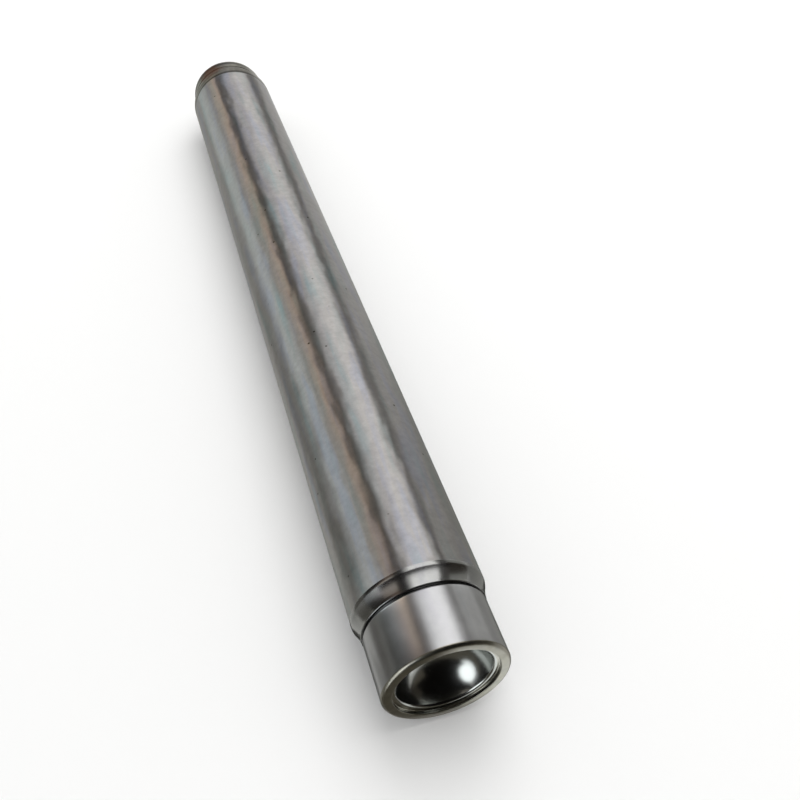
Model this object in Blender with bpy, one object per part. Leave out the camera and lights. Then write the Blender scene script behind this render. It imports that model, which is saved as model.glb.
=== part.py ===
"""Injector pushrod of a heavy diesel engine, lying on its side.

A thick-walled steel tube holds a turned plug in each end. The near plug has a
polished cup for the rocker lever's ball, and the far plug ends in a ball that
stands in the cam follower. The rod lies along Y with its cup towards -Y, and
the origin is on the ground under the middle of the rod. Lengths are in metres.
"""
import math

import bmesh
import bpy

MM = 0.001

# Round pieces: flat sides per turn, a multiple of four so that one faces down
SIDES = 60

# Tube
TUBE_DIAMETER = 25.4 * MM
TUBE_WALL = 3.5 * MM
TUBE_LENGTH = 209.7 * MM
BORE_CHAMFER = 0.5 * MM

# Neck turned on both ends of the tube: a straight land beside the end face, a
# slightly hollow cone, and a rounded shoulder up to the tube's full size
LAND_RELIEF = 0.95 * MM
LAND_LENGTH = 0.5 * MM
CONE_LENGTH = 2.35 * MM
CONE_HOLLOW = 0.07 * MM
SHOULDER_LENGTH = 0.82 * MM
SHOULDER_FALL = 0.18 * MM

# Plugs: heads a step below the tube's outside, shanks pressed into its bore
HEAD_STEP = 1.1 * MM
SEAT_EDGE_RADIUS = 0.6 * MM
SHANK_LENGTH = 22.0 * MM
SHANK_CHAMFER = 1.0 * MM
FIT_GAP = 0.3 * MM

# Socket plug, each depth counted from the mouth
SOCKET_HEAD_LENGTH = 12.0 * MM
MOUTH_EDGE_RADIUS = 0.7 * MM
RIM_WIDTH = 1.9 * MM
RECESS_DEPTH = 0.8 * MM
RECESS_EDGE_BREAK = 0.15 * MM
LEDGE_WIDTH = 0.97 * MM
CUP_DEPTH = 8.0 * MM
CUP_LIP_RADIUS = 0.6 * MM

# Ball plug
COLLAR_LENGTH = 4.4 * MM
COLLAR_CHAMFER = 0.4 * MM
BALL_DIAMETER = 15.88 * MM
BALL_STANDOFF = 4.5 * MM
NECK_FILLET_RADIUS = 1.2 * MM

# Radii that follow from the sizes above
TUBE_RADIUS = TUBE_DIAMETER / 2
BORE_RADIUS = TUBE_RADIUS - TUBE_WALL
HEAD_RADIUS = TUBE_RADIUS - HEAD_STEP
RECESS_RADIUS = HEAD_RADIUS - RIM_WIDTH
CUP_MOUTH_RADIUS = RECESS_RADIUS - LEDGE_WIDTH
BALL_RADIUS = BALL_DIAMETER / 2

# Steps in each rounded stretch of a profile
CONE_STEPS = 3
SHOULDER_STEPS = 3
EDGE_STEPS = 3
CUP_STEPS = 8
BALL_STEPS = 11
FILLET_STEPS = 3

# Finishes: colour as linear red, green and blue, then roughness
GROUND_STEEL = ("ground_tube_steel", (0.270, 0.270, 0.275), 0.34)
POLISHED_STEEL = ("polished_socket_steel", (0.470, 0.470, 0.480), 0.22)
TURNED_STEEL = ("turned_ball_steel", (0.160, 0.155, 0.130), 0.42)


def clear_scene():
    """Remove whatever objects the scene holds."""
    for thing in list(bpy.data.objects):
        bpy.data.objects.remove(thing, do_unlink=True)


def steel(name, colour, roughness):
    """Principled metal of one colour and roughness."""
    material = bpy.data.materials.new(name)
    material.use_nodes = True
    shader = material.node_tree.nodes["Principled BSDF"]
    shader.inputs["Base Color"].default_value = (*colour, 1.0)
    shader.inputs["Metallic"].default_value = 1.0
    shader.inputs["Roughness"].default_value = roughness
    material.diffuse_color = (*colour, 1.0)
    return material


def arc(centre, radius, start, end, steps):
    """Points on a circle from the start to the end angle, both included.

    A point is a radius and a place along the rod. Angle 0 points away from the
    rod's axis and a quarter turn points along the rod, towards the ball.
    """
    points = []
    for step in range(steps + 1):
        angle = start + (end - start) * step / steps
        points.append((centre[0] + radius * math.cos(angle), centre[1] + radius * math.sin(angle)))
    return points


def crown(crest, foot, steps):
    """Points of the arc that leaves the crest along the rod and falls to the foot."""
    run = foot[1] - crest[1]
    fall = crest[0] - foot[0]
    radius = (run * run + fall * fall) / (2.0 * fall)
    centre = (crest[0] - radius, crest[1])
    turn = math.asin(run / radius)
    return arc(centre, radius, 0.0, turn, steps)


def hollow_line(start, end, hollow, steps):
    """Points from start to end, sunk below the straight line by up to hollow.

    The depth below the line is hollow times 4t(1 - t) for t from 0 to 1.
    """
    points = []
    for step in range(steps + 1):
        t = step / steps
        radius = start[0] + (end[0] - start[0]) * t - hollow * 4.0 * t * (1.0 - t)
        points.append((radius, start[1] + (end[1] - start[1]) * t))
    return points


def mirrored(points, length):
    """The same points counted from the other end of a piece of that length."""
    return [(radius, length - place) for radius, place in points]


def turned(name, profile, closed, place, finish, rod_axis):
    """Turn a profile round the rod's axis and seat it at a place along the rod."""
    mesh = bpy.data.meshes.new(name)
    sketch = bmesh.new()
    corners = [sketch.verts.new((radius, 0.0, height)) for radius, height in profile]
    for first, second in zip(corners, corners[1:]):
        sketch.edges.new((first, second))
    if closed:
        sketch.edges.new((corners[-1], corners[0]))
    sketch.to_mesh(mesh)
    sketch.free()

    piece = bpy.data.objects.new(name, mesh)
    bpy.context.collection.objects.link(piece)
    piece.parent = rod_axis
    piece.location = (0.0, 0.0, place)
    piece.rotation_euler = (0.0, 0.0, math.pi / SIDES)
    mesh.materials.append(finish)

    screw = piece.modifiers.new("turn", "SCREW")
    screw.axis = "Z"
    screw.angle = 2.0 * math.pi
    screw.steps = SIDES
    screw.render_steps = SIDES
    screw.use_merge_vertices = True
    screw.merge_threshold = 0.01 * MM
    screw.use_smooth_shade = True
    return piece


def neck_profile():
    """Outside of the tube from its end face over the neck to full size."""
    land_radius = TUBE_RADIUS - LAND_RELIEF
    cone_top = (TUBE_RADIUS - SHOULDER_FALL, LAND_LENGTH + CONE_LENGTH)
    shoulder = (TUBE_RADIUS, cone_top[1] + SHOULDER_LENGTH)
    cone = hollow_line((land_radius, LAND_LENGTH), cone_top, CONE_HOLLOW, CONE_STEPS)
    climb = list(reversed(crown(shoulder, cone_top, SHOULDER_STEPS)))[1:]
    return [(land_radius, 0.0)] + cone + climb


def tube_profile():
    """Closed section of the tube's wall, down the outside and up the bore."""
    outside = neck_profile()
    countersink = BORE_RADIUS + BORE_CHAMFER
    down_the_outside = mirrored(outside, TUBE_LENGTH) + list(reversed(outside))
    up_the_bore = [
        (countersink, 0.0),
        (BORE_RADIUS, BORE_CHAMFER),
        (BORE_RADIUS, TUBE_LENGTH - BORE_CHAMFER),
        (countersink, TUBE_LENGTH),
    ]
    return down_the_outside + up_the_bore


def shank_corners():
    """Shank of a plug, from its seat inwards along the bore to its end."""
    shank = BORE_RADIUS - FIT_GAP
    return [
        (shank, 0.0),
        (shank, SHANK_LENGTH - SHANK_CHAMFER),
        (shank - SHANK_CHAMFER, SHANK_LENGTH),
        (0.0, SHANK_LENGTH),
    ]


def socket_profile():
    """Socket plug from the end of its shank down to its mouth and into the cup."""
    shank = [(radius, SOCKET_HEAD_LENGTH + place) for radius, place in reversed(shank_corners())]
    seat_centre = (HEAD_RADIUS - SEAT_EDGE_RADIUS, SOCKET_HEAD_LENGTH - SEAT_EDGE_RADIUS)
    seat_edge = arc(seat_centre, SEAT_EDGE_RADIUS, math.pi / 2, 0.0, EDGE_STEPS)
    mouth_centre = (HEAD_RADIUS - MOUTH_EDGE_RADIUS, MOUTH_EDGE_RADIUS)
    mouth_edge = arc(mouth_centre, MOUTH_EDGE_RADIUS, 0.0, -math.pi / 2, EDGE_STEPS)
    recess_wall = [
        (RECESS_RADIUS + RECESS_EDGE_BREAK, 0.0),
        (RECESS_RADIUS, RECESS_EDGE_BREAK),
        (RECESS_RADIUS, RECESS_DEPTH),
    ]
    # The cup is the part of a ball's surface below the recess floor
    rise = CUP_DEPTH - RECESS_DEPTH
    cup_radius = (CUP_MOUTH_RADIUS ** 2 + rise ** 2) / (2.0 * rise)
    cup_centre = (0.0, CUP_DEPTH - cup_radius)
    # The cup's lip is an arc that touches the recess floor and the cup
    lip_height = RECESS_DEPTH + CUP_LIP_RADIUS
    lip_reach = cup_radius + CUP_LIP_RADIUS
    lip_angle = math.asin((lip_height - cup_centre[1]) / lip_reach)
    lip_centre = (lip_reach * math.cos(lip_angle), lip_height)
    lip = arc(lip_centre, CUP_LIP_RADIUS, -math.pi / 2, lip_angle - math.pi, FILLET_STEPS)
    cup = arc(cup_centre, cup_radius, lip_angle, math.pi / 2, CUP_STEPS)
    cup[-1] = (0.0, CUP_DEPTH)
    return shank + seat_edge + mouth_edge + recess_wall + lip + cup[1:]


def ball_profile():
    """Ball plug from the tip of its ball down over the collar to its shank's end."""
    ball_centre = (0.0, COLLAR_LENGTH + BALL_STANDOFF)
    # The neck's fillet touches the ball and the collar's outer face
    fillet_height = COLLAR_LENGTH + NECK_FILLET_RADIUS
    fillet_reach = BALL_RADIUS + NECK_FILLET_RADIUS
    fillet_angle = math.asin((fillet_height - ball_centre[1]) / fillet_reach)
    fillet_centre = (fillet_reach * math.cos(fillet_angle), fillet_height)
    sphere = arc(ball_centre, BALL_RADIUS, math.pi / 2, fillet_angle, BALL_STEPS)
    sphere[0] = (0.0, ball_centre[1] + BALL_RADIUS)
    fillet = arc(fillet_centre, NECK_FILLET_RADIUS, fillet_angle + math.pi, 1.5 * math.pi, FILLET_STEPS)
    collar = [
        (HEAD_RADIUS - COLLAR_CHAMFER, COLLAR_LENGTH),
        (HEAD_RADIUS, COLLAR_LENGTH - COLLAR_CHAMFER),
    ]
    seat_centre = (HEAD_RADIUS - SEAT_EDGE_RADIUS, SEAT_EDGE_RADIUS)
    seat_edge = arc(seat_centre, SEAT_EDGE_RADIUS, 0.0, -math.pi / 2, EDGE_STEPS)
    shank = [(radius, -place) for radius, place in shank_corners()]
    return sphere + fillet[1:] + collar + seat_edge + shank


def build_pushrod():
    """Lay the rod's axis along Y and turn the three pieces round it."""
    tube_place = SOCKET_HEAD_LENGTH + FIT_GAP
    ball_plug_place = tube_place + TUBE_LENGTH + FIT_GAP
    rod_length = ball_plug_place + COLLAR_LENGTH + BALL_STANDOFF + BALL_RADIUS
    # The tube lies on one of its flat sides
    axis_height = TUBE_RADIUS * math.cos(math.pi / SIDES)

    rod_axis = bpy.data.objects.new("rod_axis", None)
    bpy.context.collection.objects.link(rod_axis)
    rod_axis.location = (0.0, -rod_length / 2, axis_height)
    rod_axis.rotation_euler = (-math.pi / 2, 0.0, 0.0)

    turned("push_tube", tube_profile(), True, tube_place, steel(*GROUND_STEEL), rod_axis)
    turned("socket_end", socket_profile(), False, 0.0, steel(*POLISHED_STEEL), rod_axis)
    turned("ball_end", ball_profile(), False, ball_plug_place, steel(*TURNED_STEEL), rod_axis)


clear_scene()
build_pushrod()
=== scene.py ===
"""Looks of a heavy diesel engine's injector pushrod, lying on its side.

Three turned steel pieces stand for the CAD nodes: the ground tube, the socket
plug with its polished cup, and the ball plug. The rod lies along Y with its cup
towards -Y. The pieces are worked out in millimetres and turned to metres by MM.
Cards, floor and camera are placed in metres.
"""
import math

import bpy
import numpy as np
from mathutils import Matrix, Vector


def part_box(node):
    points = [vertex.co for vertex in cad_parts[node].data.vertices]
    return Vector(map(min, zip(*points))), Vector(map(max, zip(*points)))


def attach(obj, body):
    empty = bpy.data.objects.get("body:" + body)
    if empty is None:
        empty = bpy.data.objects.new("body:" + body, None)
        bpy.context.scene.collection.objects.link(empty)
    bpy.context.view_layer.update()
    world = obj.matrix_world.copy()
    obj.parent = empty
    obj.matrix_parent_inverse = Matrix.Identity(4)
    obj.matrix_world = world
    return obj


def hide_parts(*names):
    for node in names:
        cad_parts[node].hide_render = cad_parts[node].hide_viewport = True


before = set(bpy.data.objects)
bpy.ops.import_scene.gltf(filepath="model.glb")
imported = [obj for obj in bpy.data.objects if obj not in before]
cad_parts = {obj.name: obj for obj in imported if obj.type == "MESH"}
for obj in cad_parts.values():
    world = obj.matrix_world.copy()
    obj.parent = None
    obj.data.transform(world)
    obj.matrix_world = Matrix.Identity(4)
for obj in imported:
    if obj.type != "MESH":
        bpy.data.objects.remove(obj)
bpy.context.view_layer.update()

MM = 0.001

# Tube
TUBE_DIAMETER = 25.4
TUBE_WALL = 3.5
BORE_CHAMFER = 0.5

# Neck on both ends of the tube: a land beside the end face, a slightly hollow
# cone, and a rounded shoulder up to the tube's full size
LAND_RELIEF = 0.95
LAND_LENGTH = 0.5
CONE_LENGTH = 2.35
CONE_HOLLOW = 0.07
SHOULDER_LENGTH = 0.82
SHOULDER_FALL = 0.18

# Length of the tube's full size that has the far neck's dark finish
DARK_END_LENGTH = 3.0

# Plugs: heads a step below the tube's outside, shanks pressed into its bore
HEAD_STEP = 1.1
SEAT_EDGE_RADIUS = 0.6
SHANK_LENGTH = 22.0
SHANK_CHAMFER = 1.0
FIT_GAP = 0.3

# Low step on each plug's seat, which the tube's end face almost touches
SEAT_STEP_INSET = 0.1
SEAT_STEP_HEIGHT = 0.27
SEAT_STEP_BREAK = 0.03

# Socket plug, each depth counted from the mouth
SOCKET_HEAD_LENGTH = 12.0
MOUTH_EDGE_RADIUS = 0.7
RIM_WIDTH = 1.9
RECESS_DEPTH = 0.8
LEDGE_WIDTH = 0.97
CUP_DEPTH = 8.0
CUP_LIP_RADIUS = 0.6

# Ball plug
COLLAR_LENGTH = 4.4
COLLAR_CHAMFER = 0.4
BALL_DIAMETER = 15.88
BALL_STANDOFF = 4.5
NECK_FILLET_RADIUS = 1.2

# Radii that follow from the sizes above
TUBE_RADIUS = TUBE_DIAMETER / 2
BORE_RADIUS = TUBE_RADIUS - TUBE_WALL
HEAD_RADIUS = TUBE_RADIUS - HEAD_STEP
SHANK_RADIUS = BORE_RADIUS - FIT_GAP
SEAT_RADIUS = HEAD_RADIUS - SEAT_EDGE_RADIUS
SEAT_STEP_RADIUS = SEAT_RADIUS - SEAT_STEP_INSET
RECESS_RADIUS = HEAD_RADIUS - RIM_WIDTH
CUP_MOUTH_RADIUS = RECESS_RADIUS - LEDGE_WIDTH
BALL_RADIUS = BALL_DIAMETER / 2

# Sharp edges are broken by this much: turned edges, the tube's ends, the recess
EDGE_BREAK = 0.12
TUBE_END_BREAK = 0.15
RECESS_BREAK = 0.18
# A break takes at most this share of the line that it starts on
LONGEST_BREAK = 0.45

# Places taken from the frame: the axis height, the mouth and the tube's ends
tube_low, tube_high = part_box("push_tube")
AXIS_HEIGHT = (tube_low.z + tube_high.z) / 2
MOUTH_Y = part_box("socket_end")[0].y
TUBE_LENGTH = (tube_high.y - tube_low.y) / MM
BALL_PLUG_Y = tube_high.y + FIT_GAP * MM

# The CAD rod is a prism with flat sides, and the round one just fits inside them
ROUND_FIT = (tube_high.x - tube_low.x) / (TUBE_DIAMETER * MM)

# Points round the rod, and steps in each rounded stretch of a profile
TURNS = 256
BREAK_STEPS = 4
CONE_STEPS = 14
SHOULDER_STEPS = 10
EDGE_STEPS = 14
SPHERE_STEPS = 68
LONGEST_STEP = 2.0
# A profile point nearer to the axis than this lies on it
ON_AXIS = 0.001

QUARTER_TURN = math.pi / 2


# Shapes
def arc(centre, radius, start, end, steps):
    """Points on a circle from the start to the end angle, as radius and place.

    Angle 0 points away from the rod's axis, a quarter turn towards the ball.
    """
    angle = np.linspace(start, end, steps + 1)
    return np.stack([centre[0] + radius * np.cos(angle), centre[1] + radius * np.sin(angle)], 1)


def crown(crest, foot, steps):
    """Arc that leaves the crest along the rod and falls to the foot.

    Its radius is (run^2 + fall^2) / (2 fall).
    """
    run, fall = foot[1] - crest[1], crest[0] - foot[0]
    radius = (run * run + fall * fall) / (2 * fall)
    return arc((crest[0] - radius, crest[1]), radius, 0.0, math.asin(run / radius), steps)


def hollow_line(start, end, hollow, steps):
    """Straight line from start to end, sunk by hollow * 4t(1 - t) for t from 0 to 1."""
    t = np.linspace(0, 1, steps + 1)
    radius = start[0] + (end[0] - start[0]) * t - hollow * 4 * t * (1 - t)
    return np.stack([radius, start[1] + (end[1] - start[1]) * t], 1)


def broken(corners, size):
    """Corners, each rounded by a curve that starts and ends size away from it.

    The curve is (1-t)^2 A + 2t(1-t) P + t^2 B, where A and B lie size away from
    the corner P on the lines to its neighbours, or nearer where those are short.
    """
    corners = np.asarray(corners, float)
    corner = corners[1:-1]
    before, after = corners[:-2] - corner, corners[2:] - corner
    length_before = np.linalg.norm(before, axis=1)[:, None]
    length_after = np.linalg.norm(after, axis=1)[:, None]
    first = corner + before * np.minimum(size / length_before, LONGEST_BREAK)
    last = corner + after * np.minimum(size / length_after, LONGEST_BREAK)
    t = np.linspace(0, 1, BREAK_STEPS + 1)[None, :, None]
    curve = (1 - t) ** 2 * first[:, None] + 2 * t * (1 - t) * corner[:, None] + t ** 2 * last[:, None]
    return np.concatenate([corners[:1], curve.reshape(-1, 2), corners[-1:]])


def placed(name, data):
    """New object that shows the data, at the origin of the scene."""
    made = bpy.data.objects.new(name, data)
    bpy.context.scene.collection.objects.link(made)
    return made


def turned(name, profile, bands, place, finishes, closed=False):
    """Surface of revolution of a profile round the rod's axis.

    Point (i, a) lies at (r sin a, place + y, axis height + r cos a), where r and
    y are the radius and place of profile point i and a goes once round from the
    underside. A profile end on the axis becomes one shared pole. bands gives
    each profile span its finish. The UV map holds the distance run along the
    profile and the share of a turn.
    """
    radius = profile[:, 0] * ROUND_FIT * MM
    along = profile[:, 1] * MM + place
    angle = np.arange(TURNS) * 2 * np.pi / TURNS + np.pi
    across = radius[:, None] * np.sin(angle)
    up = AXIS_HEIGHT + radius[:, None] * np.cos(angle)
    on_axis = radius < ON_AXIS * MM
    kept = ~on_axis[:, None] | (np.arange(TURNS) == 0)
    points = np.stack([across, along[:, None] + 0 * angle, up], 2)[kept]

    # Each profile point's row of corners, the first one repeated at the end
    starts = np.cumsum(kept.sum(1)) - kept.sum(1)
    rows = starts[:, None] + np.where(on_axis[:, None], 0, np.arange(TURNS + 1) % TURNS)
    run = np.concatenate([[0.0], np.cumsum(np.linalg.norm(np.diff(profile, axis=0), axis=1))]) * MM
    if closed:
        rows = np.concatenate([rows, rows[:1]])
        run = np.append(run, run[-1] + np.linalg.norm(profile[0] - profile[-1]) * MM)
        on_axis = np.append(on_axis, on_axis[0])
    near, far = rows[:-1], rows[1:]
    corners = np.stack([near[:, :-1], far[:, :-1], far[:, 1:], near[:, 1:]], 2)
    share = np.arange(TURNS + 1) / TURNS
    u = np.broadcast_to(np.stack([run[:-1], run[1:], run[1:], run[:-1]], 1)[:, None], corners.shape)
    v = np.broadcast_to(np.stack([share[:-1], share[:-1], share[1:], share[1:]], 1)[None], corners.shape)
    # At a pole two corners of a face are the same point, and one is left out
    used = np.ones(corners.shape, bool)
    used[on_axis[:-1], :, 3] = False
    used[on_axis[1:], :, 2] = False
    sides = used.sum(2).ravel()

    mesh = bpy.data.meshes.new(name)
    mesh.vertices.add(len(points))
    mesh.vertices.foreach_set("co", points.ravel())
    mesh.loops.add(int(sides.sum()))
    mesh.loops.foreach_set("vertex_index", corners[used].astype(np.int32))
    mesh.polygons.add(len(sides))
    mesh.polygons.foreach_set("loop_start", (np.cumsum(sides) - sides).astype(np.int32))
    mesh.polygons.foreach_set("material_index", np.repeat(bands, TURNS).astype(np.int32))
    mesh.uv_layers.new(name="along_rod").data.foreach_set("uv", np.stack([u[used], v[used]], 1).ravel())
    mesh.update(calc_edges=True)
    mesh.polygons.foreach_set("use_smooth", np.ones(len(sides), bool))
    mesh.validate()
    for finish in finishes:
        mesh.materials.append(finish)
    return placed(name, mesh)


def banded(stretches):
    """Join profile stretches, given as (points, band), and list each span's band.

    A span belongs to the stretch that its second point is in.
    """
    profile = np.concatenate([points for points, band in stretches])
    bands = np.concatenate([np.full(len(points), band) for points, band in stretches])
    return profile, bands[1:]


def spaced(start, end, longest):
    """Points strictly between start and end, no further apart than longest."""
    start, end = np.asarray(start, float), np.asarray(end, float)
    count = math.ceil(np.linalg.norm(end - start) / longest)
    share = np.arange(1, count)[:, None] / count
    return start + (end - start) * share


def neck_profile():
    """Outside of the tube from its end face over the neck to full size."""
    land_radius = TUBE_RADIUS - LAND_RELIEF
    cone_top = (TUBE_RADIUS - SHOULDER_FALL, LAND_LENGTH + CONE_LENGTH)
    shoulder = (TUBE_RADIUS, cone_top[1] + SHOULDER_LENGTH)
    cone = hollow_line((land_radius, LAND_LENGTH), cone_top, CONE_HOLLOW, CONE_STEPS)
    climb = crown(shoulder, cone_top, SHOULDER_STEPS)[::-1]
    on_face = (BORE_RADIUS + BORE_CHAMFER, 0.0)
    end_break = broken([on_face, (land_radius, 0.0), cone[0]], TUBE_END_BREAK)
    return np.concatenate([end_break[1:-1], cone, climb[1:]])


def tube_profile():
    """Closed section of the tube's wall, up the outside and back along the bore."""
    near = neck_profile()
    far = np.stack([near[:, 0], TUBE_LENGTH - near[:, 1]], 1)[::-1]
    face_radius = (TUBE_RADIUS + BORE_RADIUS) / 2
    bore = broken([
        (face_radius, TUBE_LENGTH),
        (BORE_RADIUS + BORE_CHAMFER, TUBE_LENGTH),
        (BORE_RADIUS, TUBE_LENGTH - BORE_CHAMFER),
        (BORE_RADIUS, BORE_CHAMFER),
        (BORE_RADIUS + BORE_CHAMFER, 0.0),
        (face_radius, 0.0),
    ], EDGE_BREAK)
    dark_start = np.array([TUBE_RADIUS, far[0, 1] - DARK_END_LENGTH])
    ground = np.concatenate([spaced(near[-1], dark_start, LONGEST_STEP), dark_start[None]])
    # Bands: 0 ground outside, 1 near neck, end faces and bore, 2 dark far end.
    # The last span closes the section, on the near end face
    profile, bands = banded([(near, 1), (ground, 0), (far, 2), (bore, 1)])
    return profile, np.append(bands, 1)


def socket_profile():
    """Socket plug from the end of its shank down to its mouth and into the cup.

    The cup is the part of a ball's surface below the recess floor, with the
    radius (mouth radius^2 + rise^2) / (2 rise), and its lip is an arc that
    touches the recess floor and the cup.
    """
    back = SOCKET_HEAD_LENGTH + SHANK_LENGTH
    shank = broken([
        (0.0, back),
        (SHANK_RADIUS - SHANK_CHAMFER, back),
        (SHANK_RADIUS, back - SHANK_CHAMFER),
        (SHANK_RADIUS, SOCKET_HEAD_LENGTH + SEAT_STEP_HEIGHT),
        (SEAT_STEP_RADIUS, SOCKET_HEAD_LENGTH + SEAT_STEP_HEIGHT),
        (SEAT_STEP_RADIUS, SOCKET_HEAD_LENGTH),
        (SEAT_RADIUS, SOCKET_HEAD_LENGTH),
    ], SEAT_STEP_BREAK)
    seat_centre = (SEAT_RADIUS, SOCKET_HEAD_LENGTH - SEAT_EDGE_RADIUS)
    seat_edge = arc(seat_centre, SEAT_EDGE_RADIUS, QUARTER_TURN, 0.0, EDGE_STEPS)[1:]
    edge_centre = (HEAD_RADIUS - MOUTH_EDGE_RADIUS, MOUTH_EDGE_RADIUS)
    mouth_edge = arc(edge_centre, MOUTH_EDGE_RADIUS, 0.0, -QUARTER_TURN, EDGE_STEPS)
    head = spaced(seat_edge[-1], mouth_edge[0], LONGEST_STEP)
    recess = broken([
        mouth_edge[-1],
        (RECESS_RADIUS, 0.0),
        (RECESS_RADIUS, RECESS_DEPTH),
        (CUP_MOUTH_RADIUS + CUP_LIP_RADIUS, RECESS_DEPTH),
    ], RECESS_BREAK)[1:-1]
    rise = CUP_DEPTH - RECESS_DEPTH
    cup_radius = (CUP_MOUTH_RADIUS ** 2 + rise ** 2) / (2 * rise)
    cup_centre = (0.0, CUP_DEPTH - cup_radius)
    lip_height = RECESS_DEPTH + CUP_LIP_RADIUS
    lip_reach = cup_radius + CUP_LIP_RADIUS
    lip_angle = math.asin((lip_height - cup_centre[1]) / lip_reach)
    lip_centre = (lip_reach * math.cos(lip_angle), lip_height)
    lip = arc(lip_centre, CUP_LIP_RADIUS, -QUARTER_TURN, lip_angle - math.pi, EDGE_STEPS)
    cup = arc(cup_centre, cup_radius, lip_angle, QUARTER_TURN, SPHERE_STEPS)[1:]
    cup[-1, 0] = 0.0
    # Bands: 0 ground head, 1 turned mouth edge and rim, 2 recess, 3 polished cup
    split = BREAK_STEPS + 1
    return banded([
        (np.concatenate([shank, seat_edge, head, mouth_edge[:2]]), 0),
        (np.concatenate([mouth_edge[2:], recess[:split]]), 1),
        (np.concatenate([recess[split:], lip[:2]]), 2),
        (np.concatenate([lip[2:], cup]), 3),
    ])


def ball_profile():
    """Ball plug from its shank's end over the collar and neck to the ball's tip.

    The neck is an arc that touches the ball and the collar's outer face.
    """
    shank = broken([
        (0.0, -SHANK_LENGTH),
        (SHANK_RADIUS - SHANK_CHAMFER, -SHANK_LENGTH),
        (SHANK_RADIUS, SHANK_CHAMFER - SHANK_LENGTH),
        (SHANK_RADIUS, -SEAT_STEP_HEIGHT),
        (SEAT_STEP_RADIUS, -SEAT_STEP_HEIGHT),
        (SEAT_STEP_RADIUS, 0.0),
        (SEAT_RADIUS, 0.0),
    ], SEAT_STEP_BREAK)
    seat_centre = (SEAT_RADIUS, SEAT_EDGE_RADIUS)
    seat_edge = arc(seat_centre, SEAT_EDGE_RADIUS, -QUARTER_TURN, 0.0, EDGE_STEPS)[1:]
    ball_centre = (0.0, COLLAR_LENGTH + BALL_STANDOFF)
    fillet_height = COLLAR_LENGTH + NECK_FILLET_RADIUS
    fillet_reach = BALL_RADIUS + NECK_FILLET_RADIUS
    fillet_angle = math.asin((fillet_height - ball_centre[1]) / fillet_reach)
    fillet_centre = (fillet_reach * math.cos(fillet_angle), fillet_height)
    collar = broken([
        seat_edge[-1],
        (HEAD_RADIUS, COLLAR_LENGTH - COLLAR_CHAMFER),
        (HEAD_RADIUS - COLLAR_CHAMFER, COLLAR_LENGTH),
        (fillet_centre[0], COLLAR_LENGTH),
    ], EDGE_BREAK)[1:]
    fillet = arc(fillet_centre, NECK_FILLET_RADIUS, 3 * QUARTER_TURN, fillet_angle + math.pi, EDGE_STEPS)[1:]
    sphere = arc(ball_centre, BALL_RADIUS, fillet_angle, QUARTER_TURN, SPHERE_STEPS)[1:]
    sphere[-1, 0] = 0.0
    # Bands: 0 turned collar and neck, 1 ground ball
    return banded([(np.concatenate([shank, seat_edge, collar, fillet]), 0), (sphere, 1)])


# Materials
# Patterns on the steel, by their sizes in mm: streaks of tint, patches of oil
# film and handling marks, and mottling
STREAK_WIDTH, STREAK_LENGTH = 3.03, 30.3
FILM_PATCH = 7.14
GRAIN_SIZE = 1.538
# Waves left by the grinding, across and along the rod
WAVE_WIDTH, WAVE_LENGTH = 3.03, 6.25
# Tool lines change within this run round the rod, and grit lies between them.
# Both are drawn coarser than the real ones, which are too fine to show
LINE_SWEEP = 33.3
GRIT_SIZE = 0.667
LINE_HEIGHT = 0.05
# Heights of grit and pits beside that of the tool lines
GRIT_HEIGHT = 0.35
PIT_HEIGHT = -3.0

# Stretches of a noise texture's 0 to 1 that the film and mottling, the streaks
# and the tool lines are spread over
NOISE_LOW, NOISE_HIGH = 0.3, 0.7
STREAK_LOW, STREAK_HIGH = 0.28, 0.72
LINE_LOW, LINE_HIGH = 0.4, 0.6
# The film's effect on lightness and on roughness
FILM_DARK, FILM_LIGHT = 0.92, 1.06
FILM_SMOOTH, FILM_ROUGH = 0.92, 1.08

# A pit is filled with oil and dirt, and flat over this share of its size
PIT_COLOUR = "#3c3833"
PIT_FLOOR = 0.4
# Rust covers the steel by this share, has an edge made ragged by the mottling,
# and adds to the roughness. Reaches are shares of the patch's own
RUST_COVER = 0.75
RUST_RAGGED = -1.2
RUST_FULL, RUST_END = -0.1, 0.5
RUST_ROUGHNESS = 0.3


def linear(hex_colour):
    """sRGB hex colour as linear red, green, blue and full alpha."""
    levels = [int(hex_colour[i:i + 2], 16) / 255 for i in (1, 3, 5)]
    return tuple(c / 12.92 if c <= 0.04045 else ((c + 0.055) / 1.055) ** 2.4 for c in levels) + (1.0,)


def per_metre(*sizes):
    """Texture scales at which a pattern has the sizes in mm, on coordinates in metres."""
    return tuple(1 / (size * MM) for size in sizes)


def add(tree, kind, settings=(), inputs=()):
    """Add a node, set its properties, and fill its inputs with values or links.

    Inputs go by name or number. On a Map Range 0 is the value, 1 and 2 the range
    that it comes in and 3 and 4 the range that it goes to. On a colour Mix 0 is
    the share of the second colour, and 6 and 7 are the colours.
    """
    made = tree.nodes.new(kind)
    for name, value in dict(settings).items():
        setattr(made, name, value)
    for name, value in dict(inputs).items():
        if isinstance(value, bpy.types.NodeSocket):
            tree.links.new(value, made.inputs[name])
        else:
            made.inputs[name].default_value = value
    return made


def ramp_colours(node, stops):
    """Put (position, hex colour) stops into a colour ramp."""
    ramp = node.color_ramp
    while len(ramp.elements) < len(stops):
        ramp.elements.new(0.5)
    for element, (position, hex_colour) in zip(ramp.elements, stops):
        element.position = position
        element.color = linear(hex_colour)


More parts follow.
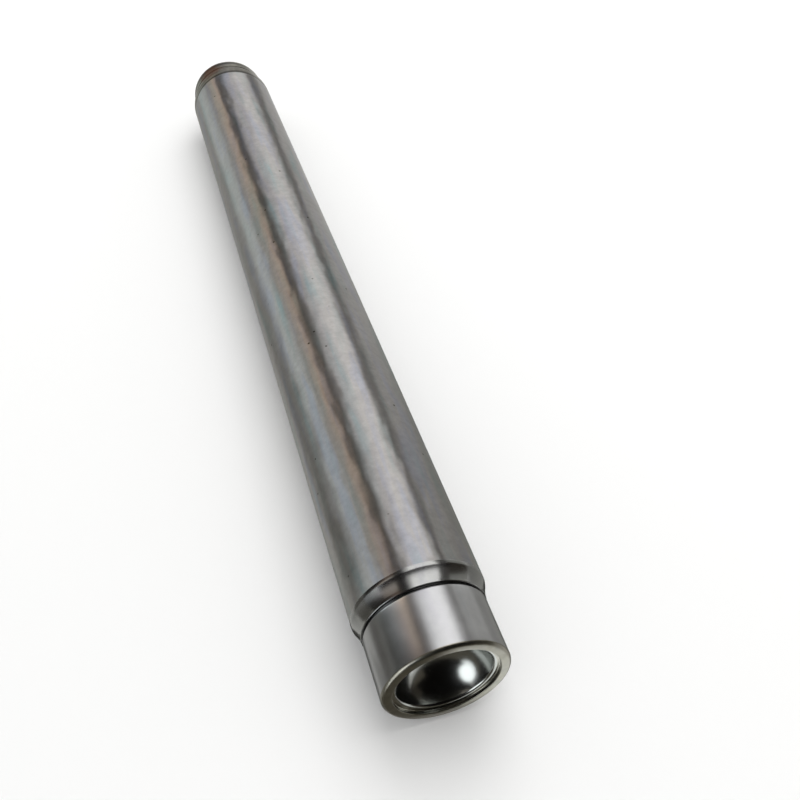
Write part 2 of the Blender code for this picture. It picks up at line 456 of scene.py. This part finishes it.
def steel(name, tints, roughness, anisotropic, lines, line_depth, mottle=0.05, line_shade=0.0, waves=0.0,
          pits=None, rust=None):
    """Worked steel: tinted streaks, an oil film, mottling, tool lines, pits and rust.

    tints are the colours that the streaks run through. lines is the spacing of
    the tool lines along the rod in mm, line_depth their bump strength, and
    line_shade how far they lighten and darken the steel, as mottle is for the
    fine mottling. waves is the height in mm of the shallow waves that make the
    edges of reflections ragged. pits is (spacing, size) in mm. rust is (hex
    colour, its middle in metres, its reach in mm).

    The colour is the streaks' tint times the shades of film, mottling and
    lines, with pits and rust laid over it. The bump's height is that of the
    lines plus those of the grit and the pits.
    """
    material = bpy.data.materials.new(name)
    material.use_nodes = True
    tree = material.node_tree
    shader = tree.nodes["Principled BSDF"]
    shader.inputs["Metallic"].default_value = 1.0
    shader.inputs["Anisotropic"].default_value = anisotropic
    tangent = add(tree, "ShaderNodeTangent", {"direction_type": "UV_MAP", "uv_map": "along_rod"})
    tree.links.new(tangent.outputs[0], shader.inputs["Tangent"])
    place = add(tree, "ShaderNodeTexCoord").outputs["Object"]

    # Streaks of tint
    stretched = add(tree, "ShaderNodeMapping", {}, {
        "Vector": place, "Scale": per_metre(STREAK_WIDTH, STREAK_LENGTH, STREAK_WIDTH)})
    streak = add(tree, "ShaderNodeTexNoise", {}, {
        "Vector": stretched.outputs[0], "Scale": 1.0, "Detail": 4.0, "Roughness": 0.55})
    positions = np.linspace(STREAK_LOW, STREAK_HIGH, len(tints))
    tinted = add(tree, "ShaderNodeValToRGB", {}, {0: streak.outputs[0]})
    ramp_colours(tinted, list(zip(positions, tints)))

    # Film of oil and handling marks
    film = add(tree, "ShaderNodeTexNoise", {}, {
        "Vector": place, "Scale": per_metre(FILM_PATCH)[0], "Detail": 5.0, "Roughness": 0.6})
    rough = add(tree, "ShaderNodeMapRange", {}, {
        0: film.outputs[0], 1: NOISE_LOW, 2: NOISE_HIGH,
        3: FILM_SMOOTH * roughness, 4: FILM_ROUGH * roughness}).outputs[0]
    shade = add(tree, "ShaderNodeMapRange", {}, {
        0: film.outputs[0], 1: NOISE_LOW, 2: NOISE_HIGH, 3: FILM_DARK, 4: FILM_LIGHT})

    # Mottling
    grain = add(tree, "ShaderNodeTexNoise", {}, {
        "Vector": place, "Scale": per_metre(GRAIN_SIZE)[0], "Detail": 4.0, "Roughness": 0.65})
    fine = add(tree, "ShaderNodeMapRange", {}, {
        0: grain.outputs[0], 1: NOISE_LOW, 2: NOISE_HIGH, 3: 1.0 - mottle, 4: 1.0 + mottle})
    shade = add(tree, "ShaderNodeMath", {"operation": "MULTIPLY"}, {
        0: shade.outputs[0], 1: fine.outputs[0]})

    # Tool lines round the rod, and the grit between them
    ringed = add(tree, "ShaderNodeMapping", {}, {
        "Vector": place, "Scale": per_metre(LINE_SWEEP, lines, LINE_SWEEP)})
    ring = add(tree, "ShaderNodeTexNoise", {}, {"Vector": ringed.outputs[0], "Scale": 1.0, "Detail": 2.0})
    ring_shade = add(tree, "ShaderNodeMapRange", {}, {
        0: ring.outputs[0], 1: LINE_LOW, 2: LINE_HIGH, 3: 1.0 - line_shade, 4: 1.0 + line_shade})
    shade = add(tree, "ShaderNodeMath", {"operation": "MULTIPLY"}, {
        0: shade.outputs[0], 1: ring_shade.outputs[0]})
    colour = add(tree, "ShaderNodeVectorMath", {"operation": "SCALE"}, {
        "Vector": tinted.outputs[0], "Scale": shade.outputs[0]}).outputs[0]
    grit = add(tree, "ShaderNodeTexNoise", {}, {
        "Vector": place, "Scale": per_metre(GRIT_SIZE)[0], "Detail": 3.0})
    height = add(tree, "ShaderNodeMath", {"operation": "MULTIPLY_ADD"}, {
        0: grit.outputs[0], 1: GRIT_HEIGHT, 2: ring.outputs[0]}).outputs[0]

    if pits:
        spacing, size = pits
        cells = add(tree, "ShaderNodeTexVoronoi", {}, {"Vector": place, "Scale": per_metre(spacing)[0]})
        pit = add(tree, "ShaderNodeMapRange", {"interpolation_type": "SMOOTHSTEP"}, {
            0: cells.outputs["Distance"], 1: PIT_FLOOR * size / spacing, 2: size / spacing,
            3: 1.0, 4: 0.0}).outputs[0]
        colour = add(tree, "ShaderNodeMix", {"data_type": "RGBA"}, {
            0: pit, 6: colour, 7: linear(PIT_COLOUR)}).outputs[2]
        height = add(tree, "ShaderNodeMath", {"operation": "MULTIPLY_ADD"}, {
            0: pit, 1: PIT_HEIGHT, 2: height}).outputs[0]

    if rust:
        rust_colour, middle, reach_mm = rust
        reach = reach_mm * MM
        away = add(tree, "ShaderNodeVectorMath", {"operation": "DISTANCE"}, {0: place, 1: middle})
        ragged = add(tree, "ShaderNodeMath", {"operation": "MULTIPLY_ADD"}, {
            0: grain.outputs[0], 1: RUST_RAGGED * reach, 2: away.outputs["Value"]})
        rusted = add(tree, "ShaderNodeMapRange", {"interpolation_type": "SMOOTHSTEP"}, {
            0: ragged.outputs[0], 1: RUST_FULL * reach, 2: RUST_END * reach,
            3: RUST_COVER, 4: 0.0}).outputs[0]
        colour = add(tree, "ShaderNodeMix", {"data_type": "RGBA"}, {
            0: rusted, 6: colour, 7: linear(rust_colour)}).outputs[2]
        rough = add(tree, "ShaderNodeMath", {"operation": "MULTIPLY_ADD", "use_clamp": True}, {
            0: rusted, 1: RUST_ROUGHNESS, 2: rough}).outputs[0]

    bump = add(tree, "ShaderNodeBump", {}, {
        "Height": height, "Strength": line_depth, "Distance": LINE_HEIGHT * MM})
    if waves:
        rolled = add(tree, "ShaderNodeMapping", {}, {
            "Vector": place, "Scale": per_metre(WAVE_WIDTH, WAVE_LENGTH, WAVE_WIDTH)})
        wave = add(tree, "ShaderNodeTexNoise", {}, {
            "Vector": rolled.outputs[0], "Scale": 1.0, "Detail": 1.0})
        waved = add(tree, "ShaderNodeBump", {}, {
            "Height": wave.outputs[0], "Strength": 1.0, "Distance": waves * MM})
        tree.links.new(waved.outputs[0], bump.inputs["Normal"])
    tree.links.new(colour, shader.inputs["Base Color"])
    tree.links.new(rough, shader.inputs["Roughness"])
    tree.links.new(bump.outputs[0], shader.inputs["Normal"])
    return material


# Centreless-ground tube, oiled: satin, its light smeared along the rod, with
# faint teal, olive and lavender tints
tube_steel = steel("ground_tube_steel", ["#889595", "#949694", "#9b9895", "#95959a", "#8f9699"],
                   roughness=0.42, anisotropic=0.9, lines=0.35, line_depth=0.06, mottle=0.1, waves=0.17,
                   pits=(5.0, 0.35))
# Necks turned in one pass with the end faces, darker and sharper than the tube
neck_steel = steel("turned_neck_steel", ["#868786", "#8b8b89", "#878788"],
                   roughness=0.2, anisotropic=0.0, lines=0.3, line_depth=0.04)
# Hardened plug head, fine ground: brighter and sharper than the tube
head_steel = steel("ground_socket_steel", ["#929394", "#9a9a9a", "#9a999c"],
                   roughness=0.3, anisotropic=0.2, lines=0.3, line_depth=0.012, mottle=0.03)
# Turned rim and its rounded edge: duller, olive-grey
rim_steel = steel("turned_rim_steel", ["#7a766a", "#88857a", "#807e76"],
                  roughness=0.33, anisotropic=0.0, lines=0.4, line_depth=0.05, mottle=0.1)
# Recess turned with a finer feed than the rim: the same grey, but shinier
recess_steel = steel("turned_recess_steel", ["#88857a", "#94928a"],
                     roughness=0.22, anisotropic=0.0, lines=0.4, line_depth=0.05)
# Cup, polished to run on a ball: smooth and clear
cup_steel = steel("polished_cup_steel", ["#929490", "#9c9c98"],
                  roughness=0.19, anisotropic=0.0, lines=0.3, line_depth=0.0, mottle=0.02)
# Collar and far neck left as turned, darkened by heat and oil, with a patch of
# rust on the upper left
RUST_REACH = 5.2
RUST_MIDDLE = (-5.5 * MM, BALL_PLUG_Y - 0.5 * MM, AXIS_HEIGHT + 10.0 * MM)
collar_steel = steel("turned_collar_steel", ["#514f48", "#66645c", "#5a5851"],
                     roughness=0.42, anisotropic=0.3, lines=0.9, line_depth=0.3, mottle=0.15, line_shade=0.7,
                     rust=("#5e4032", RUST_MIDDLE, RUST_REACH))
# Ball, hardened and ground: smooth, a little darker than the cup
ball_steel = steel("ground_ball_steel", ["#8a8984", "#92918c"],
                   roughness=0.22, anisotropic=0.0, lines=0.3, line_depth=0.03)


# Pieces
for node_name, slot_name, shape, place, closed, finishes in (
    ("push_tube", "tube_steel", tube_profile, tube_low.y, True, [tube_steel, neck_steel, collar_steel]),
    ("socket_end", "socket_steel", socket_profile, MOUTH_Y, False,
     [head_steel, rim_steel, recess_steel, cup_steel]),
    ("ball_end", "ball_steel", ball_profile, BALL_PLUG_Y, False, [collar_steel, ball_steel]),
):
    profile, bands = shape()
    piece = turned(node_name + "_finish", profile, bands, place, finishes, closed)
    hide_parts(node_name)
    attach(piece, "root")


# Floor, light and camera
def card(name, corners, near_colour, far_colour=None, near_y=0.0, far_y=1.0, strength=1.0, lights=False):
    """Flat glowing card through those corners, seen in reflections only.

    Its colour fades from near_colour at near_y to far_colour at far_y, or is
    near_colour all over. A card that lights also lights the floor.
    """
    material = bpy.data.materials.new(name)
    material.use_nodes = True
    tree = material.node_tree
    tree.nodes.clear()
    place = add(tree, "ShaderNodeTexCoord").outputs["Object"]
    along = add(tree, "ShaderNodeSeparateXYZ", {}, {0: place}).outputs["Y"]
    share = add(tree, "ShaderNodeMapRange", {"interpolation_type": "SMOOTHSTEP"}, {
        0: along, 1: near_y, 2: far_y})
    colour = add(tree, "ShaderNodeMix", {"data_type": "RGBA"}, {
        0: share.outputs[0], 6: linear(near_colour), 7: linear(far_colour or near_colour)})
    glow = add(tree, "ShaderNodeEmission", {}, {"Color": colour.outputs[2], "Strength": strength})
    add(tree, "ShaderNodeOutputMaterial", {}, {"Surface": glow.outputs[0]})

    mesh = bpy.data.meshes.new(name)
    mesh.from_pydata(corners, [], [tuple(range(len(corners)))])
    mesh.materials.append(material)
    made = placed(name, mesh)
    made.visible_camera = False
    made.visible_transmission = False
    made.visible_diffuse = lights
    made.visible_shadow = False


def block(x, y, z):
    """Corners of an upright or level rectangle whose x, y or z is one value."""
    x, y, z = (v if isinstance(v, tuple) else (v, v) for v in (x, y, z))
    if z[0] == z[1]:
        return [(x[0], y[0], z[0]), (x[1], y[0], z[0]), (x[1], y[1], z[0]), (x[0], y[1], z[0])]
    return [(x[0], y[0], z[0]), (x[1], y[1], z[0]), (x[1], y[1], z[1]), (x[0], y[0], z[1])]


def level(points, height):
    """Points given as x and y, all at that height."""
    return [(x, y, height) for x, y in points]


def ceiling(points, drop=0.0):
    """Points given as x and y, at the height of the light box or just below it."""
    return level(points, CEILING - drop)


# Edges that several cards share, in metres from the middle of the rod
CEILING = 1.0
RIGHT, LEFT, FRONT, BACK, FAR = 1.6, -0.9, -0.9, 4.9, 5.0
KEY_LEFT, KEY_FRONT, KEY_FAR = -0.16, -0.265, 4.6
WARM_LEFT, WARM_RIGHT, WARM_FRONT = -1.7, -0.62, -0.41
GREY_RIGHT, UMBER_FRONT = -0.95, 0.12
RIGHT_TOP, LEFT_TOP, LEFT_FRONT_TOP, FRONT_TOP = 1.3, 0.55, 0.38, 0.95
LEFT_DARK_START, LEFT_DARK_END = -0.1, 0.70
BLACK = "#121110"

# Ceiling: the light box, which gives the steel its broad band of light, and the
# strips of light and shade beside it
card("key_box", ceiling([
    (KEY_LEFT, KEY_FRONT), (0.74, KEY_FRONT), (0.70, 0.5), (1.05, 0.74),
    (1.2, 1.75), (1.42, 2.8), (1.75, KEY_FAR), (KEY_LEFT, KEY_FAR),
]), "#ffffff", "#7e7e82", 0.6, 2.6, strength=2.5, lights=True)
card("key_left", ceiling([(KEY_LEFT, 0.5), (0.17, 0.5), (0.4, KEY_FAR), (KEY_LEFT, KEY_FAR)], 0.015),
     "#e6e6f0", "#c4c4cc", 0.8, 2.6, strength=1.25)
card("dark_right_strip", ceiling([
    (0.74, KEY_FRONT), (1.3, KEY_FRONT), (1.3, 0.38), (1.62, 0.95), (1.5, 1.1), (1.5, 1.5), (1.65, 1.9),
    (1.65, FAR), (1.8, FAR), (1.43, 2.8), (1.18, 1.75), (0.90, 0.75), (0.68, 0.5),
], 0.02), "#5c5a58", "#969490", 0.5, 0.9)
card("dark_left_strip", ceiling([
    (WARM_RIGHT, WARM_FRONT), (-0.27, WARM_FRONT), (-0.27, FAR), (WARM_RIGHT, FAR),
], 0.01), "#1a1816", "#8a8884", 0.5, 0.8, strength=0.6)
card("warm_left", ceiling([
    (WARM_LEFT, WARM_FRONT), (WARM_RIGHT, WARM_FRONT), (WARM_RIGHT, 1.2), (WARM_LEFT, 1.2),
], 0.01), "#8a766c")
card("warm_left_front", ceiling([
    (WARM_LEFT, WARM_FRONT), (WARM_RIGHT, WARM_FRONT), (WARM_RIGHT, UMBER_FRONT), (WARM_LEFT, UMBER_FRONT),
], 0.02), "#c8c0b8", "#a09488", -0.2, 0.1, strength=1.5)
card("warm_left_far", ceiling([
    (WARM_RIGHT, 0.68), (WARM_RIGHT, FAR), (GREY_RIGHT, FAR), (GREY_RIGHT, 0.82),
], 0.02), "#ffe6d0", "#3c3a36", 0.9, 2.4, strength=3.9)
card("grey_left_far", ceiling([
    (GREY_RIGHT, 0.88), (GREY_RIGHT, FAR), (WARM_LEFT, FAR), (WARM_LEFT, 1.35),
], 0.02), "#f4f6f0", "#4c4c4a", 0.9, 2.4, strength=3.3)
card("umber_left", ceiling([
    (WARM_LEFT, UMBER_FRONT), (-1.15, UMBER_FRONT), (-1.15, 0.88), (WARM_LEFT, 0.95),
], 0.03), "#4c463f")

# Walls, which show on the rod's flanks. The right one is a bright card with a
# slanting top in front of a darker one
RIGHT_OUTLINE = [(0.1, 0.0), (FAR, 0.0), (3.2, 0.17), (2.6, 0.4), (1.94, 0.65), (1.3, 0.9),
                 (1.1, RIGHT_TOP), (0.1, RIGHT_TOP)]
card("right_wall", [(RIGHT, y, z) for y, z in RIGHT_OUTLINE], "#acaca8", "#ffffff", 0.8, 1.0, strength=1.3)
card("right_wall_dark", block(RIGHT + 0.05, (0.9, FAR), (0.0, RIGHT_TOP)), "#a09e9a")
card("right_front", block(RIGHT, (FRONT, 0.1), (0.0, RIGHT_TOP)), "#4a453e")
card("beige_front", block((0.55, RIGHT), FRONT + 0.02, (0.0, 0.30)), "#6e685e")
card("left_wall_near", block(LEFT, (LEFT_DARK_START, LEFT_DARK_END), (0.0, LEFT_TOP)), "#34322e")
card("left_wall_far", block(LEFT, (LEFT_DARK_END, 4.5), (0.0, LEFT_TOP)),
     "#f0fcfc", "#383838", 0.72, 1.35, strength=4.5)
card("left_front", block(LEFT, (-0.55, -0.33), (0.0, LEFT_FRONT_TOP)), "#f0f6fa", strength=1.7)
card("left_side", block(LEFT, (-0.33, LEFT_DARK_START), (0.0, LEFT_FRONT_TOP)), "#b4b8ba")
card("front_ceiling", block((WARM_LEFT, RIGHT), (-1.5, KEY_FRONT), FRONT_TOP), BLACK)
card("front_wall", block((LEFT, RIGHT), FRONT, (0.0, FRONT_TOP)), BLACK)
card("back_wall", block((LEFT, 4.0), BACK, (0.0, CEILING)), "#77756e")

# Table as the steel sees it: pale at the sides, and darker there towards the mouth
# end. Close under the rod lies a painted shadow, dark where the rod's own shadow
# lies, and the table is dark in front of the mouth. Two small cards of painted
# light brighten the undersides of the near neck and the rim
TABLE, FOOT, NECK_CARD, RIM_CARD = 0.001, 0.0015, 0.002, 0.0012
NEAR_END, FOOT_END = -0.12, 0.14
FOOT_INSIDE, LEFT_FOOT, RIGHT_FOOT, LEFT_EDGE = 0.012, -0.0165, 0.024, -0.038
card("left_edge", block((LEFT_EDGE, LEFT_FOOT), (NEAR_END, FOOT_END), TABLE), "#dcdcd8")
card("left_table", block((LEFT, LEFT_EDGE), (NEAR_END, 4.0), TABLE), "#74726c", "#d0d0ca", -0.08, 0.12)
card("right_table", block((RIGHT_FOOT, 1.2), (NEAR_END, FAR), TABLE),
     "#9c9c98", "#ffffff", -0.08, 0.12, strength=1.3)
# Painted shadow: dark cards on the table close under the rod, seen only in the steel
card("left_painted_shadow", block((LEFT_FOOT, -FOOT_INSIDE), (NEAR_END, FOOT_END), FOOT), "#3c3c38")
card("right_painted_shadow", block((FOOT_INSIDE, RIGHT_FOOT), (NEAR_END, FOOT_END), FOOT), "#3c3c38")
# Painted light: bright cards on the table under the near neck and the rim, seen only in the steel
card("neck_table", block((-0.5, -0.022), (NEAR_END, -0.102), NECK_CARD), "#a8a8a4")
card("rim_table", level([(0.003, -0.1212), (0.018, -0.1212), (0.020, -0.130), (0.006, -0.130)], RIM_CARD),
     "#f0f4f4", strength=2.0)
card("front_table", level([
    (-1.3, -0.121), (0.001, -0.121), (0.006, -0.135), (0.02, -0.15), (RIGHT, -0.16), (RIGHT, -1.5),
    (-1.3, -1.5),
], TABLE), "#6e6a60", BLACK, -0.16, -0.28)
# A dark card over the mouth keeps the light box out of the cup
card("cup_shade", block((-0.02, 0.05), (-0.20, -0.1205), 0.05), BLACK)

# Window at the left in front, and its glint on the table, as the cup shows them
WINDOW_COLOUR = "#f4faff"
WINDOW_LIGHT = 3.6
GLINT_LIGHT = 0.75 * WINDOW_LIGHT
WINDOW_CENTRE = np.array([-0.51, -0.42, 0.20])
WINDOW_ACROSS = np.array([0.10, -0.17, 0.0])
WINDOW_UP = np.array([0.0, 0.0, 0.22])
WINDOW_POINTS = 48
turn = np.linspace(0, 2 * np.pi, WINDOW_POINTS, endpoint=False)[:, None]
outline = WINDOW_CENTRE + WINDOW_ACROSS * np.cos(turn) + WINDOW_UP * np.sin(turn)
card("window", outline.tolist(), WINDOW_COLOUR, strength=WINDOW_LIGHT)
# Glint corners as distance from the mouth and bearing, in degrees left of -Y
GLINT = [(0.028, 53), (0.05, 47), (0.1, 44), (0.5, 42), (0.5, 74), (0.1, 73), (0.05, 70), (0.028, 64)]
GLINT_HEIGHT = 0.002
distance, bearing = np.array(GLINT).T * np.array([[1.0], [math.pi / 180]])
glint = np.stack([-distance * np.sin(bearing), MOUTH_Y - distance * np.cos(bearing)], 1)
card("window_glint", level(glint.tolist(), GLINT_HEIGHT), WINDOW_COLOUR, strength=GLINT_LIGHT)

# White table, painted matt: it takes the rod's soft shadow and shows no gloss
FLOOR_SPAN = (-10, 10)
floor_mesh = bpy.data.meshes.new("floor")
floor_mesh.from_pydata(block(FLOOR_SPAN, FLOOR_SPAN, 0.0), [], [(0, 1, 2, 3)])
floor = placed("floor", floor_mesh)
floor_material = bpy.data.materials.new("white_table")
floor_material.use_nodes = True
floor_shader = floor_material.node_tree.nodes["Principled BSDF"]
floor_shader.inputs["Base Color"].default_value = linear("#f6f6f5")
floor_shader.inputs["Roughness"].default_value = 0.9
floor_shader.inputs["Specular IOR Level"].default_value = 0.0
floor_mesh.materials.append(floor_material)

# The world lights the floor softly, and camera and metal see it as plain white
WHITE = (1, 1, 1, 1)
SOFT_LIGHT = 0.70
world = bpy.data.worlds.new("studio")
bpy.context.scene.world = world
world.use_nodes = True
tree = world.node_tree
soft = add(tree, "ShaderNodeBackground", {}, {"Color": WHITE, "Strength": SOFT_LIGHT})
seen_white = add(tree, "ShaderNodeBackground", {}, {"Color": WHITE, "Strength": 1.0})
ray = add(tree, "ShaderNodeLightPath")
seen = add(tree, "ShaderNodeMath", {"operation": "ADD"}, {
    0: ray.outputs["Is Camera Ray"], 1: ray.outputs["Is Glossy Ray"]})
seen = add(tree, "ShaderNodeMath", {"operation": "ADD", "use_clamp": True}, {
    0: seen.outputs[0], 1: ray.outputs["Is Transmission Ray"]})
mixed = add(tree, "ShaderNodeMixShader", {}, {
    0: seen.outputs[0], 1: soft.outputs[0], 2: seen_white.outputs[0]})
tree.links.new(mixed.outputs[0], tree.nodes["World Output"].inputs[0])

# Camera beside the mouth, looking down on the rod and along it
LOOK_DOWN, TURN_RIGHT = 44.537, 17.047
camera_data = bpy.data.cameras.new("camera")
camera_data.sensor_width = 36
camera_data.lens = 39.6
camera_data.clip_start = 0.01
camera = placed("camera", camera_data)
camera.location = (-0.02859, -0.18567, 0.14956)
camera.rotation_euler = (math.radians(90 - LOOK_DOWN), 0, math.radians(-TURN_RIGHT))
bpy.context.scene.camera = camera

bpy.context.scene.view_settings.view_transform = "Standard"
